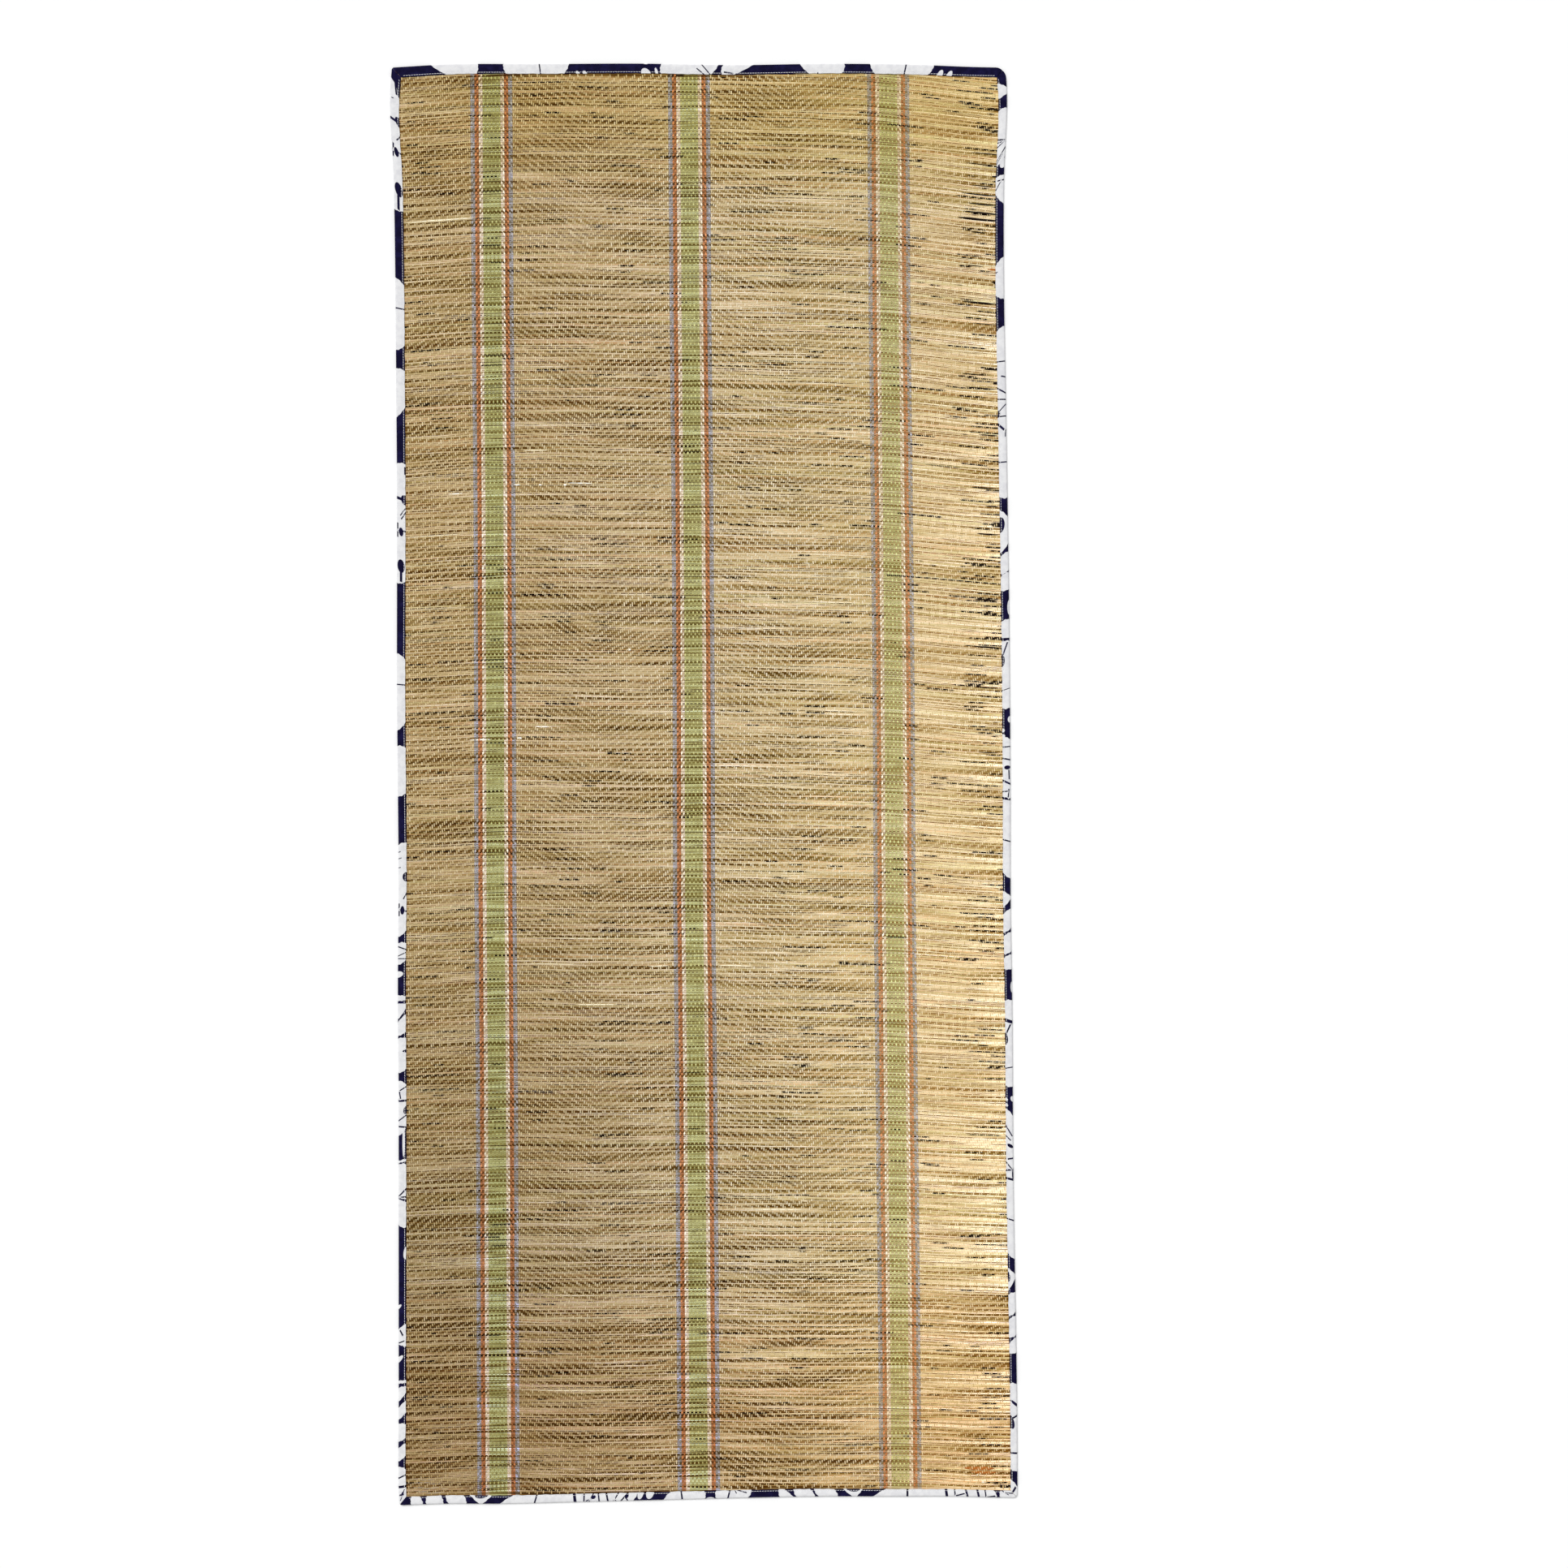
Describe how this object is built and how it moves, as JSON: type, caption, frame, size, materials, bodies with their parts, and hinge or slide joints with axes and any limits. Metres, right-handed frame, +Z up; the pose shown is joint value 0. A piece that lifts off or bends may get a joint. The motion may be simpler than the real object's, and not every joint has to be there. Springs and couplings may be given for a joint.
{
  "type": "straw beach mat",
  "caption": "Rectangular beach mat woven of straw, with coloured warp bands along its length and a folded printed cotton tape round its edge, lying flat.",
  "frame": {"origin": "on the surface that the mat lies on, under the middle of its bounding box", "axes": "+Y along the mat's length, +X across its width, +Z up out of its face"},
  "size_m": [0.7744, 1.8022, 0.003],
  "materials": {
    "straw": "dry woven straw with cotton warps and coloured warp bands",
    "tape_cloth": "matt plain-weave cotton, navy printed with a white flower and leaf pattern"
  },
  "bodies": {
    "root": {"straw_panel": "straw", "binding_top": "tape_cloth", "binding_right": "tape_cloth", "binding_foot": "tape_cloth", "binding_left": "tape_cloth"}
  },
  "joints": []
}
